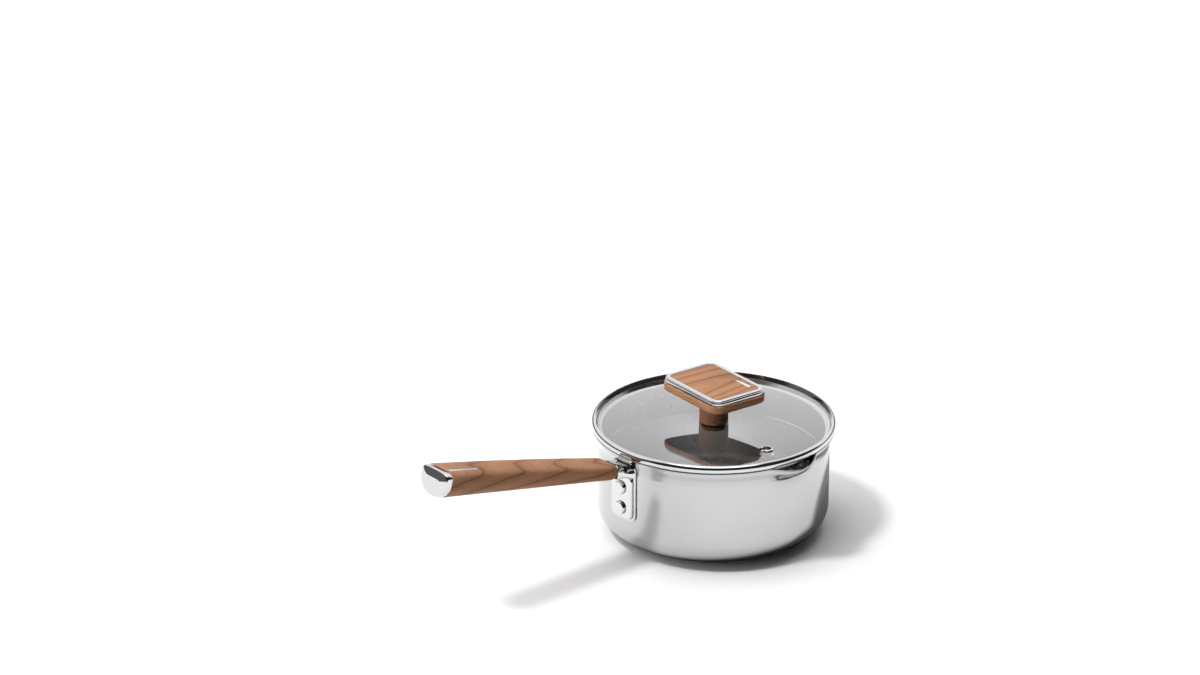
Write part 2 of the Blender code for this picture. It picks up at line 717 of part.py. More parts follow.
def turn_lid():
    """Turn the whole lid to the angle it rests at."""
    turn = Matrix.Rotation(math.radians(LID_TURN), 4, "Z")
    for name in LID_NODES:
        PARTS.objects[name].data.transform(turn)


# ---------------------------------------------------------------- build

clear_scene()
PARTS = new_collection(COLLECTION)
CUTTERS = new_collection("cutters")
CUTTERS.hide_render = True

make_pot_shell()
make_base_core()
make_base_cap()
make_handle_bracket()
for rivet_name, rivet_height in RIVET_HEIGHTS.items():
    make_rivet(rivet_name, rivet_height)
make_handle_tang()
make_handle_screw()
make_handle_grip()
make_handle_inlay_strip()
make_handle_end_cap()
make_lid_ring()
make_glass_seal()
make_lid_glass()
make_vent_grommet()
make_knob_body()
make_knob_trims()
make_knob_inlay()
make_knob_fixings()
turn_lid()
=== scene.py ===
"""Looks for a small steel saucepan with a straining glass lid.

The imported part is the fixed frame.  Pieces that show are built here again with finer
meshes from the same dimensions, the hidden ones keep their part mesh and get a finish.
Lengths are in millimetres and angles in degrees unless a name says otherwise; `MM`
turns them into metres.  +X is the handle's side and the pouring spouts lie on +Y and -Y.
"""

import math

import bmesh
import bpy
from mathutils import Matrix, Vector


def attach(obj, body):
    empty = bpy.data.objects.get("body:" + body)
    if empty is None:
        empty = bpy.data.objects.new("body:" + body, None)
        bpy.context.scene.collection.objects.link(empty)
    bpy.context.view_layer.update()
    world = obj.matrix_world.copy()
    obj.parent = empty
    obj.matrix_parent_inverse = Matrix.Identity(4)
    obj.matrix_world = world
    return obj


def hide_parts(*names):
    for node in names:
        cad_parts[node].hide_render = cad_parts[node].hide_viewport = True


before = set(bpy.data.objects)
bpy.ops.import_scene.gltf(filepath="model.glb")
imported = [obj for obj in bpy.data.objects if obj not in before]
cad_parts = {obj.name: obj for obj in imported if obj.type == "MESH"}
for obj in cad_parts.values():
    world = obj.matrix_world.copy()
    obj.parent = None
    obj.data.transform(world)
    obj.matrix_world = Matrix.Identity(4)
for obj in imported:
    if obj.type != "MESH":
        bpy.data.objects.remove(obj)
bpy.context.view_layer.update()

MM = 0.001
ROUND = 288                # facets round the large turned pieces
POT_ROUND = 360            # facets round the pot's shell
SMALL_ROUND = 64           # facets round screws, rivets and washers

# pot
WALL_R = 80.4
SHEET = 1.0
SHELL_BOTTOM = 3.8
CORNER_R = 17.0
RIM_TOP = 77.0
RIM_R = 84.3
SPOUT_OUT = 9.0
SPOUT_DROP = 1.6
SPOUT_HALF_ANGLE = 15.0
SPOUT_DEPTH = 14.0

# lid
BAND_R = 84.42
BAND_BOTTOM = 77.5
BEAD_TOP = 82.0
GLASS_TOP = 79.0
GLASS_THICK = 3.1
GLASS_R = 80.4
LEDGE_TOP = 75.2
LEDGE_BOTTOM = 74.6
SKIRT_R = 77.6
SKIRT_SHEET = 0.7
SKIRT_BOTTOM = 52.0
HOLE_R = 3.0
HOLE_PITCH = 6.7
HOLE_ROWS = ((67.5, 6), (58.5, 5))
LID_TURN = -3.5
VENT_RADIUS = 59.0

# knob
KNOB_TOP = 108.6
PLATE_BOTTOM = 99.1
PLATE_TOP = 104.65
PLATE = (23.4, 31.9, 8.8)         # half sizes along X and Y, and the corners' radius
LOWER_TRIM = (22.5, 31.0, 7.9)
TOP_FRAME = (22.2, 30.8, 7.6)
TOP_INLAY = (18.6, 27.2, 4.0)
LOWER_TRIM_WIDTH = 3.6
TOP_FRAME_WIDTH = 3.4
BOSS_INSET = 4.9                   # how far the boss stands in from the plate's edge
NECK_R = 10.0
NECK_BOTTOM = 79.5
STRIP_LOW = (-15.4, 6.4)
STRIP_HIGH = (-13.2, 21.4)

# handle: a frame whose origin is the middle of the grip's front end
GRIP_START = (94.0, 69.4)
GRIP_TILT = 13.0
GRIP_LENGTH = 147.0
CAP_LENGTH = 5.4
CAP_INSET = 0.39                  # the cap stands this far inside the grip's outline
CAP_DOME = 0.86
INLAY_MIDDLE = (133.6, 5.6)
INLAY_SIZE = (23.6, 3.2)
STRAP_R = (80.6, 81.9)            # inner and outer radius of the strap on the wall
STRAP = (12.0, 29.5, 74.9, 5.0)   # half width, bottom, top and corners' radius
PAD_R = 83.6                      # outer radius of the thicker pad under the rivets
PAD = (10.5, 30.9, 63.4, 4.6)
RIVET_HEIGHTS = {"rivet_upper": 53.4, "rivet_lower": 38.4}

# studio
CAMERA_AT = Vector((1.5638, 1.7674, 1.1135))
CAMERA_LOOK = Vector((-0.58933, -0.71238, -0.38107))
LENS = 112.05
LIGHT_SIDE = Vector((-0.336, -0.942, 0.0))   # the way to the bright half of the studio
BRIGHT_WALL = 1.2
DARK_WALL = 0.03
OVERHEAD = 2.8                    # the soft box above the pan
LOW_SHARE = 0.12                  # what is left of the bright side near the horizon
LOW_EDGE = (0.19, 0.32)           # the heights over which the bright side starts
OVERHEAD_EDGE = (0.915, 0.95)     # the heights over which the soft box starts
FILL_SIDE = Vector((0.85, -0.53, 0.0))
HANDLE_FILL = 2.6                 # soft light from the handle's side that mirrors don't show
FLOOR_BOUNCE = 0.78               # how much of its light the floor gives back to the pieces
FLOOR_R = 4200.0                  # the floor's radius
PAINTED_SHADOW_REACH = (16.0, 75.0)        # where the painted shadow that only the steel mirrors begins and ends, along -X
PAINTED_SHADOW_R = (80.0, 97.0)            # the radii over which that painted shadow fades out
PAINTED_SHADOW_LEFT = 0.28                 # the share of the floor's colour left inside that painted shadow
SUN_FROM = Vector((0.58, -0.08, 1.0))
SUN_POWER = 1.8
SUN_ANGLE = 9.0


# ---------------------------------------------------------------- mesh helpers

def surface(name, rings, closed=False, start_cap=True, end_cap=True):
    """Skin equal rings of points (millimetres) one after another.

    A ring of one point is a pole.  `closed` joins the last ring to the first, and
    otherwise each open end is capped.
    """
    verts, faces, starts = [], [], []
    for ring in rings:
        starts.append(len(verts))
        verts.extend([(p[0] * MM, p[1] * MM, p[2] * MM) for p in ring])
    pairs = list(zip(range(len(rings)), range(1, len(rings))))
    if closed:
        pairs.append((len(rings) - 1, 0))
    count = max(len(ring) for ring in rings)
    for near, far in pairs:
        a, b = starts[near], starts[far]
        for i in range(count):
            j = (i + 1) % count
            if len(rings[near]) == 1:
                faces.append((a, b + j, b + i))
            elif len(rings[far]) == 1:
                faces.append((a + i, a + j, b))
            else:
                faces.append((a + i, a + j, b + j, b + i))
    if not closed and start_cap and len(rings[0]) > 1:
        faces.append([starts[0] + i for i in reversed(range(count))])
    if not closed and end_cap and len(rings[-1]) > 1:
        faces.append([starts[-1] + i for i in range(count)])
    mesh = bpy.data.meshes.new(name)
    mesh.from_pydata(verts, [], faces)
    work = bmesh.new()
    work.from_mesh(mesh)
    bmesh.ops.recalc_face_normals(work, faces=work.faces)
    work.to_mesh(mesh)
    work.free()
    return mesh


def turned_mesh(name, profile, segments=ROUND, closed=False):
    """A mesh turned round Z from (radius, height) points."""
    rings = []
    for radius, height in profile:
        if radius < 1e-6:
            rings.append([(0.0, 0.0, height)])
            continue
        ring = []
        for i in range(segments):
            angle = math.tau * i / segments
            ring.append((radius * math.cos(angle), radius * math.sin(angle), height))
        rings.append(ring)
    return surface(name, rings, closed)


def filleted(corners, closed=True, steps=6):
    """A profile from (r, z, fillet radius) corners, each rounded with an arc."""
    count = len(corners)
    out = []
    for i, (x, z, radius) in enumerate(corners):
        here = Vector((x, z))
        if radius <= 0 or (not closed and i in (0, count - 1)):
            out.append((x, z))
            continue
        to_last = (Vector(corners[i - 1][:2]) - here).normalized()
        to_next = (Vector(corners[(i + 1) % count][:2]) - here).normalized()
        half = math.acos(max(-1.0, min(1.0, to_last.dot(to_next)))) / 2
        if half > math.radians(89.0):
            out.append((x, z))
            continue
        reach = radius / math.tan(half)
        middle = here + (to_last + to_next).normalized() * (radius / math.sin(half))
        start = here + to_last * reach - middle
        end = here + to_next * reach - middle
        sweep = math.atan2(start.x * end.y - start.y * end.x, start.dot(end))
        for step in range(steps + 1):
            turn = sweep * step / steps
            c, s = math.cos(turn), math.sin(turn)
            out.append((middle.x + start.x * c - start.y * s, middle.y + start.x * s + start.y * c))
    return out


def rounded_oblong(size, inset, height, steps=14):
    """A ring with rounded corners at one height, anticlockwise, moved in by the inset."""
    half_x, half_y, corner = (length - inset for length in size)
    corner = max(corner, 0.15)
    points = []
    for quarter in range(4):
        cx = (half_x - corner) * (1 if quarter in (0, 3) else -1)
        cy = (half_y - corner) * (1 if quarter in (0, 1) else -1)
        for step in range(steps + 1):
            angle = (quarter + step / steps) * math.pi / 2
            points.append((cx + corner * math.cos(angle), cy + corner * math.sin(angle), height))
    return points


def oblong_turned(name, size, profile, closed=False):
    """A rounded oblong swept through (inset, height) points."""
    return surface(name, [rounded_oblong(size, inset, height) for inset, height in profile], closed)


def rounded_rectangle(half_width, bottom, top, corner, upper=None, steps=8):
    """A rounded rectangle (across, up); the upper corners may have a radius of their own."""
    upper = corner if upper is None else upper
    points = []
    for quarter, (sy, sz) in enumerate(((1, 1), (-1, 1), (-1, -1), (1, -1))):
        radius = upper if sz > 0 else corner
        cy = sy * (half_width - radius)
        cz = (top - radius) if sz > 0 else (bottom + radius)
        for step in range(steps + 1):
            angle = math.pi / 2 * (quarter + step / steps)
            points.append((cy + radius * math.cos(angle), cz + radius * math.sin(angle)))
    return points


def bar_mesh(name, low, high, edge):
    """A bar with softened edges between two corners."""
    mesh = bpy.data.meshes.new(name)
    work = bmesh.new()
    bmesh.ops.create_cube(work, size=1.0)
    size = (Vector(high) - Vector(low)) * MM
    middle = (Vector(high) + Vector(low)) / 2 * MM
    scale = Matrix.Diagonal((size.x, size.y, size.z, 1.0))
    bmesh.ops.transform(work, matrix=Matrix.Translation(middle) @ scale, verts=work.verts)
    bmesh.ops.bevel(
        work, geom=work.edges[:], offset=edge * MM, segments=3, profile=0.5, affect="EDGES"
    )
    work.to_mesh(mesh)
    work.free()
    return mesh


def new_object(name, mesh):
    obj = bpy.data.objects.new(name, mesh)
    bpy.context.scene.collection.objects.link(obj)
    return obj


def combined(mesh, other, operation):
    """The mesh joined with or cut by another one."""
    first = new_object("base_shape", mesh)
    second = new_object("tool_shape", other)
    modifier = first.modifiers.new("combine", "BOOLEAN")
    modifier.operation = operation
    modifier.solver = "EXACT"
    modifier.object = second
    bpy.context.view_layer.update()
    graph = bpy.context.evaluated_depsgraph_get()
    result = bpy.data.meshes.new_from_object(first.evaluated_get(graph))
    bpy.data.objects.remove(first, do_unlink=True)
    bpy.data.objects.remove(second, do_unlink=True)
    return result


def joined(meshes):
    """Several separate meshes as one."""
    work = bmesh.new()
    for mesh in meshes:
        work.from_mesh(mesh)
    result = bpy.data.meshes.new("joined")
    work.to_mesh(result)
    work.free()
    return result


def peg(radius, start, end, segments=40):
    """A round peg between two points, used to cut holes."""
    a, b = Vector(start), Vector(end)
    mesh = turned_mesh("peg", [(0, (b - a).length), (radius, (b - a).length), (radius, 0), (0, 0)],
                       segments)
    turn = (b - a).to_track_quat("Z", "Y").to_matrix().to_4x4()
    mesh.transform(Matrix.Translation(a * MM) @ turn)
    return mesh


def piece(name, mesh, materials, body, replaced, sharp=34.0):
    """Add a finished piece: its finish, the body it rides on and the node it stands for."""
    for face in mesh.polygons:
        face.use_smooth = True
    mesh.set_sharp_from_angle(angle=math.radians(sharp))
    mesh.name = name
    mesh.materials.clear()
    for material in materials:
        mesh.materials.append(material)
    if body == "lid":
        mesh.transform(Matrix.Rotation(math.radians(LID_TURN), 4, "Z"))
    obj = new_object(name, mesh)
    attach(obj, body)
    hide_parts(replaced)
    return obj


# ---------------------------------------------------------------- finishes

def new_material(name):
    """A new material with its tree and shader."""
    material = bpy.data.materials.new(name)
    material.use_nodes = True
    tree = material.node_tree
    return material, tree, tree.nodes["Principled BSDF"]


def node(tree, kind, values=None, **settings):
    """Add a node, set its properties, and set or link its inputs."""
    made = tree.nodes.new(kind)
    for key, value in settings.items():
        setattr(made, key, value)
    for key, value in (values or {}).items():
        if isinstance(value, bpy.types.NodeSocket):
            tree.links.new(value, made.inputs[key])
        else:
            made.inputs[key].default_value = value
    return made


def calc(tree, operation, *values):
    made = node(tree, "ShaderNodeMath", dict(enumerate(values)), operation=operation)
    return made.outputs[0]


def noise(tree, vector, scale, detail=2.0, rough=0.5):
    made = node(
        tree, "ShaderNodeTexNoise",
        {"Vector": vector, "Scale": scale, "Detail": detail, "Roughness": rough},
    )
    return made.outputs["Fac"]


def remap(tree, value, low, high, to_low, to_high, smooth=False):
    kind = "SMOOTHSTEP" if smooth else "LINEAR"
    made = node(
        tree, "ShaderNodeMapRange", {0: value, 1: low, 2: high, 3: to_low, 4: to_high},
        interpolation_type=kind,
    )
    return made.outputs[0]


def ramp(tree, value, stops):
    made = node(tree, "ShaderNodeValToRGB", {0: value})
    band = made.color_ramp
    while len(band.elements) < len(stops):
        band.elements.new(0.5)
    for element, (place, colour) in zip(band.elements, stops):
        element.position = place
        element.color = (*colour, 1.0)
    return made.outputs["Color"]


def bump(tree, height, strength, distance):
    made = node(
        tree, "ShaderNodeBump", {"Height": height, "Strength": strength, "Distance": distance}
    )
    return made.outputs["Normal"]


def object_place(tree):
    return node(tree, "ShaderNodeTexCoord").outputs["Object"]


def round_the_axis(tree, place, slow, quick):
    """Coordinates that change fast up the wall and across the bottom, and slowly round it."""
    parts = node(tree, "ShaderNodeSeparateXYZ", {0: place})
    x, y, z = parts.outputs
    radius = calc(tree, "SQRT", calc(tree, "ADD", calc(tree, "MULTIPLY", x, x),
                                     calc(tree, "MULTIPLY", y, y)))
    run = calc(tree, "MULTIPLY", calc(tree, "ADD", radius, z), quick)
    made = node(
        tree, "ShaderNodeCombineXYZ",
        {0: calc(tree, "MULTIPLY", x, slow), 1: calc(tree, "MULTIPLY", y, slow), 2: run},
    )
    return made.outputs[0]


def stretched(tree, place, scale):
    made = node(
        tree, "ShaderNodeVectorMath", {0: place, 1: scale}, operation="MULTIPLY"
    )
    return made.outputs[0]


def polished_steel(name, grey=0.66, roughness=0.10):
    """Mirror-finished steel: faint polishing lines and a little uneven haze."""
    material, tree, shader = new_material(name)
    place = object_place(tree)
    haze = noise(tree, place, 38.0, 4.0)
    lines = noise(tree, round_the_axis(tree, place, 9.0, 2600.0), 1.0, 2.0)
    rough = calc(tree, "ADD", remap(tree, haze, 0.3, 0.7, -0.015, 0.02),
                 remap(tree, lines, 0.3, 0.7, roughness - 0.01, roughness + 0.02))
    tint = ramp(tree, haze, ((0.3, (grey - 0.01,) * 3), (0.7, (grey + 0.01, grey + 0.01, grey + 0.012))))
    tree.links.new(tint, shader.inputs["Base Color"])
    tree.links.new(rough, shader.inputs["Roughness"])
    tree.links.new(bump(tree, lines, 0.05, 0.00002), shader.inputs["Normal"])
    shader.inputs["Metallic"].default_value = 1.0
    return material


def brushed_steel(name, grey=0.55, roughness=0.30, strength=0.35, streak=0.6):
    """Steel brushed round the axis: fine rings that draw reflections out into upright streaks."""
    material, tree, shader = new_material(name)
    place = object_place(tree)
    fine = noise(tree, round_the_axis(tree, place, 14.0, 4200.0), 1.0, 3.0, 0.6)
    cloud = noise(tree, place, 30.0, 3.0)
    light = (grey + 0.03, grey + 0.03, grey + 0.033)
    tint = ramp(tree, fine, ((0.3, (grey - 0.03,) * 3), (0.7, light)))
    tree.links.new(tint, shader.inputs["Base Color"])
    tree.links.new(
        remap(tree, cloud, 0.3, 0.7, roughness - 0.02, roughness + 0.02), shader.inputs["Roughness"]
    )
    tree.links.new(bump(tree, fine, strength, 0.00002), shader.inputs["Normal"])
    around = node(tree, "ShaderNodeTangent", direction_type="RADIAL", axis="Z").outputs[0]
    tree.links.new(around, shader.inputs["Tangent"])
    shader.inputs["Anisotropic"].default_value = streak
    shader.inputs["Anisotropic Rotation"].default_value = 0.25
    shader.inputs["Metallic"].default_value = 1.0
    return material


def satin_steel(name, grey=0.6, roughness=0.34):
    """Plain drawn steel with fine specks of tooling marks."""
    material, tree, shader = new_material(name)
    place = object_place(tree)
    marks = noise(tree, stretched(tree, place, (90.0, 2600.0, 2600.0)), 1.0, 3.0)
    tint = ramp(tree, marks, ((0.3, (grey - 0.06,) * 3), (0.7, (grey + 0.05,) * 3)))
    tree.links.new(tint, shader.inputs["Base Color"])
    tree.links.new(
        remap(tree, marks, 0.3, 0.7, roughness - 0.05, roughness + 0.06), shader.inputs["Roughness"]
    )
    tree.links.new(bump(tree, marks, 0.25, 0.00003), shader.inputs["Normal"])
    shader.inputs["Metallic"].default_value = 1.0
    return material


def cast_metal(name, colour, roughness):
    """Unpolished metal with a fine grain: the base's core and the brass insert."""
    material, tree, shader = new_material(name)
    place = object_place(tree)
    grain = noise(tree, place, 900.0, 4.0, 0.6)
    darker = tuple(c * 0.82 for c in colour)
    tree.links.new(ramp(tree, grain, ((0.3, darker), (0.7, colour))), shader.inputs["Base Color"])
    tree.links.new(
        remap(tree, grain, 0.3, 0.7, roughness - 0.06, roughness + 0.08), shader.inputs["Roughness"]
    )
    tree.links.new(bump(tree, grain, 0.3, 0.00005), shader.inputs["Normal"])
    shader.inputs["Metallic"].default_value = 1.0
    return material


def moulded(name, colour, roughness):
    """Soft moulded rubber with a fine matt skin."""
    material, tree, shader = new_material(name)
    place = object_place(tree)
    grain = noise(tree, place, 1600.0, 3.0)
    cloud = noise(tree, place, 60.0, 3.0)
    lighter = tuple(min(1.0, c * 1.15 + 0.004) for c in colour)
    tree.links.new(ramp(tree, cloud, ((0.3, colour), (0.7, lighter))), shader.inputs["Base Color"])
    tree.links.new(
        remap(tree, grain, 0.3, 0.7, roughness - 0.05, roughness + 0.08), shader.inputs["Roughness"]
    )
    tree.links.new(bump(tree, grain, 0.2, 0.00004), shader.inputs["Normal"])
    return material


def clear_glass(name):
    """Tempered glass as a pane: it mirrors more the flatter it is seen, and has faint haze."""
    material, tree, shader = new_material(name)
    tree.nodes.remove(shader)
    place = object_place(tree)
    haze = noise(tree, place, 24.0, 3.0)
    mirror = node(
        tree, "ShaderNodeBsdfGlossy",
        {"Color": (1.0, 1.0, 1.0, 1.0), "Roughness": remap(tree, haze, 0.3, 0.7, 0.0, 0.02)},
    )
    clear = node(tree, "ShaderNodeBsdfTransparent", {"Color": (0.975, 0.985, 0.98, 1.0)})
    gloss = node(tree, "ShaderNodeFresnel", {"IOR": 1.5}).outputs[0]
    back = node(tree, "ShaderNodeNewGeometry").outputs["Backfacing"]
    front = calc(tree, "SUBTRACT", 1.0, back)
    share = calc(tree, "MULTIPLY", calc(tree, "MULTIPLY", gloss, 2.8), front)
    both = node(tree, "ShaderNodeMixShader", {0: calc(tree, "MINIMUM", share, 1.0),
                                              1: clear.outputs[0], 2: mirror.outputs[0]})
    tree.links.new(both.outputs[0], tree.nodes["Material Output"].inputs["Surface"])
    return material


def wood(name, origin, tilt, heart, rings_across, rings_along, shift=0.0, spin=0.0):
    """Walnut-look wood with flowing arches of grain along one direction.

    The growth rings are cones round a line `heart` below the surface, which leaves nested
    arches where a flat face cuts them; fine fibres run along the piece.
    """
    material, tree, shader = new_material(name)
    moved = node(
        tree, "ShaderNodeVectorMath",
        {0: object_place(tree), 1: tuple(c * MM for c in origin)}, operation="SUBTRACT",
    ).outputs[0]
    turned = node(
        tree, "ShaderNodeVectorRotate",
        {"Vector": moved, "Angle": math.radians(tilt), "Axis": (0.0, 1.0, 0.0)},
        rotation_type="AXIS_ANGLE",
    ).outputs[0]
    if spin:
        turned = node(
            tree, "ShaderNodeVectorRotate",
            {"Vector": turned, "Angle": math.radians(spin), "Axis": (0.0, 0.0, 1.0)},
            rotation_type="AXIS_ANGLE",
        ).outputs[0]
    x, y, z = node(tree, "ShaderNodeSeparateXYZ", {0: turned}).outputs
    flow = noise(tree, stretched(tree, turned, (14.0, 46.0, 46.0)), 1.0, 2.0)
    sway = noise(tree, stretched(tree, turned, (5.0, 9.0, 9.0)), 1.0, 1.0)
    deep = calc(tree, "ADD", z, heart * MM)
    side = calc(tree, "ADD", y, remap(tree, sway, 0.2, 0.8, -0.009, 0.009))
    away = calc(tree, "SQRT", calc(tree, "ADD", calc(tree, "MULTIPLY", side, side),
                                   calc(tree, "MULTIPLY", deep, deep)))
    ring = calc(tree, "SUBTRACT", calc(tree, "MULTIPLY", away, rings_across),
                calc(tree, "MULTIPLY", x, rings_along))
    ring = calc(tree, "ADD", ring, calc(tree, "MULTIPLY", flow, 0.8))
    ring = calc(tree, "ADD", ring, shift)
    part = calc(tree, "FRACT", ring)
    fine = calc(tree, "FRACT", calc(tree, "MULTIPLY", ring, 3.0))
    fibre = noise(tree, stretched(tree, turned, (60.0, 1500.0, 1500.0)), 1.0, 4.0, 0.65)
    patch = noise(tree, stretched(tree, turned, (12.0, 60.0, 60.0)), 1.0, 3.0)
    body = ramp(tree, part, (
        (0.0, (0.282, 0.138, 0.073)), (0.35, (0.35, 0.177, 0.095)), (0.72, (0.32, 0.158, 0.083)),
        (0.88, (0.248, 0.118, 0.06)), (0.945, (0.175, 0.079, 0.039)), (1.0, (0.26, 0.125, 0.065)),
    ))
    lines = remap(tree, fine, 0.72, 0.97, 1.0, 0.86, True)
    streaks = remap(tree, fibre, 0.25, 0.75, 0.84, 1.12)
    clouds = remap(tree, patch, 0.25, 0.75, 0.90, 1.10)
    shade = calc(tree, "MULTIPLY", calc(tree, "MULTIPLY", lines, streaks), clouds)
    colour = node(
        tree, "ShaderNodeVectorMath", {0: body, "Scale": shade}, operation="SCALE"
    ).outputs[0]
    tree.links.new(colour, shader.inputs["Base Color"])
    tree.links.new(remap(tree, fibre, 0.25, 0.75, 0.56, 0.46), shader.inputs["Roughness"])
    tree.links.new(bump(tree, fibre, 0.18, 0.00005), shader.inputs["Normal"])
    shader.inputs["Specular IOR Level"].default_value = 0.1
    return material


def make_finishes():
    """Every finish, by name."""
    return {
        "wall": polished_steel("pot_wall_steel", 0.52, 0.07),
        "inside": brushed_steel("pot_inside_steel", 0.64, 0.27, 0.2, 0.7),
        "ring": polished_steel("lid_ring_steel", 0.60, 0.02),
        # The skirt is the ring's own steel drawn at about half the grey of the ring and the pot's inside:
        # painted shade for the skirt under the lid's rim.
        "skirt": brushed_steel("skirt_steel_painted_shade", 0.30, 0.22, 0.15, 0.6),
        "bright": polished_steel("bracket_steel", 0.66, 0.05),
        "chrome": polished_steel("chrome_trim", 0.61, 0.03),
        "strip": polished_steel("inlay_strip_steel", 0.86, 0.24),
        "satin": satin_steel("satin_steel"),
        "core": cast_metal("aluminium_core", (0.72, 0.73, 0.74), 0.45),
        "brass": cast_metal("brass_insert", (0.72, 0.54, 0.24), 0.35),
        "rubber": moulded("black_rubber", (0.02, 0.02, 0.02), 0.6),
        "seal": moulded("clear_seal", (0.30, 0.30, 0.295), 0.5),
        "glass": clear_glass("tempered_glass"),
        "grip": wood("grip_wood", (GRIP_START[0], 0.0, GRIP_START[1]), GRIP_TILT, 6.0, 150.0, -22.0, 0.35),
        "plate": wood("knob_wood", (0.0, 0.0, 100.0), 0.0, 30.0, 420.0, 12.0, 0.1),
    }


# ---------------------------------------------------------------- pot

def spout_share(x, y):
    """How strongly a point belongs to one of the two spouts, from 0 to 1."""
    off = math.degrees(math.atan2(abs(x), abs(y)))
    if off >= SPOUT_HALF_ANGLE:
        return 0.0
    return math.cos(math.pi / 2 * off / SPOUT_HALF_ANGLE) ** 1.15


def pot_outer_profile():
    """The pot's outer side from the rim down to the middle of the bottom."""
    lip = RIM_TOP - SHEET
    corners = [
        (RIM_R - 0.5, lip, 0.0), (RIM_R - 1.2, lip - 0.05, 0.5), (82.7, 73.4, 4.0),
        (81.1, 69.6, 9.0), (WALL_R, 65.6, 12.0), (WALL_R, 58.0, 0.0),
    ]
    profile = filleted(corners, closed=False, steps=5)
    profile += [(WALL_R, z) for z in (50.0, 42.0, 34.0, 26.0)]
    for step in range(19):
        angle = math.pi / 2 * step / 18
        profile.append((
            WALL_R - CORNER_R + CORNER_R * math.cos(angle),
            SHELL_BOTTOM + CORNER_R - CORNER_R * math.sin(angle),
        ))
    profile += [(r, SHELL_BOTTOM) for r in (55.0, 40.0, 20.0, 0.0)]
    return profile


def inner_side(profile):
    """The profile moved inward by the sheet's thickness."""
    out = []
    last = len(profile) - 1
    for i, (r, z) in enumerate(profile):
        before, after = Vector(profile[max(i - 1, 0)]), Vector(profile[min(i + 1, last)])
        run = (after - before).normalized()
        if i == last:
            run = Vector((-1.0, 0.0))
        out.append((max(r + run.y * SHEET, 0.0), z - run.x * SHEET))
    return out


def with_spouts(point):
    """Push a point of the round wall out to the shape of the nearer spout."""
    x, y, z = point
    radius = math.hypot(x, y)
    share = spout_share(x, y) if radius > 70 else 0.0
    fade = min(max((z - (RIM_TOP - SPOUT_DEPTH)) / (SPOUT_DEPTH - SHEET), 0.0), 1.0)
    if share * fade == 0.0:
        return point
    fade = fade * fade * (3 - 2 * fade)
    grow = 1 + SPOUT_OUT * share * fade / radius
    return (x * grow, y * grow, z - SPOUT_DROP * share * fade)


def make_pot_shell(finishes):
    """The pot as one bent sheet: flared rim, two spouts, straight wall and bottom."""
    outer = pot_outer_profile()
    inner = inner_side(outer)
    start, end = Vector(outer[0]), Vector(inner[0])
    middle, spoke = (start + end) / 2, (start - end) / 2
    lip = []
    for step in range(1, 6):
        angle = math.pi * step / 6
        across = Vector((-spoke.y, spoke.x)) * math.sin(angle)
        lip.append(tuple(middle + spoke * math.cos(angle) + across))
    profile = list(reversed(outer)) + lip + inner
    rings = []
    for radius, height in profile:
        if radius < 1e-6:
            rings.append([(0.0, 0.0, height)])
            continue
        ring = []
        for i in range(POT_ROUND):
            angle = math.tau * i / POT_ROUND
            point = (radius * math.cos(angle), radius * math.sin(angle), height)
            ring.append(with_spouts(point))
        rings.append(ring)
    mesh = surface("pot_shell_fine", rings)
    obj = piece("pot_shell_fine", mesh, [finishes["wall"], finishes["inside"]], "pan",
                "pot_shell", 50.0)
    for face in obj.data.polygons:
        middle, normal = face.center, face.normal
        upright = math.hypot(normal.x, normal.y) > 0.05
        inward = upright and normal.x * middle.x + normal.y * middle.y < 0
        floor = normal.z > 0.9 and middle.z < 10 * MM
        if inward or floor:
            face.material_index = 1
    return obj


def on_plate(y, z, radius):
    """A point of a sheet curved round the pot's axis."""
    return (math.sqrt(radius * radius - y * y), y, z)


def curved_sheet(name, inner, outer, outline, edge, back):
    """A sheet curved round the pot's axis with softened edges and a step behind them."""
    half, bottom, top, corner = outline
    steps = [(8.5, inner), (4.0, inner), (back, inner), (back, inner + back), (0.0, inner + back)]
    for step in range(7):
        angle = math.pi / 2 * step / 6
        steps.append((edge - edge * math.cos(angle), outer - edge + edge * math.sin(angle)))
    for inset in (2.0, 4.0, 6.5, half - 1.5):
        steps.append((inset, outer))
    rings = []
    for inset, radius in steps:
        rounding = max(corner - inset, 0.6)
        ring = rounded_rectangle(half - inset, bottom + inset, top - inset, rounding)
        rings.append([on_plate(y, z, radius) for y, z in ring])
    return surface(name, rings)


def bracket_neck():
    """The neck that carries the grip, from inside the strap to the grip's front end."""
    stations = (
        (81.2, 12.4, 62.6, 71.4, 5.5),
        (83.6, 11.4, 63.4, 71.6, 6.0),
        (87.0, 10.2, 64.4, 72.6, 6.2),
        (90.0, 9.8, 64.7, 73.9, 6.0),
    )
    rings = []
    for x, half, bottom, top, upper in stations:
        outline = rounded_rectangle(half, bottom, top, 1.6, upper)
        rings.append([(x, y, z) for y, z in outline])
    rings.append([tuple(p) for p in handle_ring(-0.3, rounded_rectangle(9.6, -5.2, 5.0, 1.6, 5.6))])
    return surface("neck", rings)


def under_rim():
    """The shape of the wall and rim that strap and neck have to clear."""
    inner = STRAP_R[0]
    profile = [(0, 90), (84.8, 90), (84.8, 75.65), (83.6, 75.3), (83.1, 73.3), (81.5, 69.5)]
    profile += [(inner, 66.2), (inner, 64.0), (0, 64.0)]
    return turned_mesh("under_rim", profile, 719)


def make_handle_bracket(finishes):
    """Strap, riveted pad and neck in one polished piece."""
    strap = curved_sheet("strap", *STRAP_R, STRAP, 0.45, 0.5)
    strap = combined(strap, under_rim(), "DIFFERENCE")
    neck = combined(bracket_neck(), under_rim(), "DIFFERENCE")
    pad = curved_sheet("pad", STRAP_R[1] - 0.1, PAD_R, PAD, 0.6, 0.7)
    mesh = combined(combined(strap, pad, "UNION"), neck, "UNION")
    return piece("handle_bracket_fine", mesh, [finishes["bright"]], "pan",
                 "handle_bracket", 30.0)


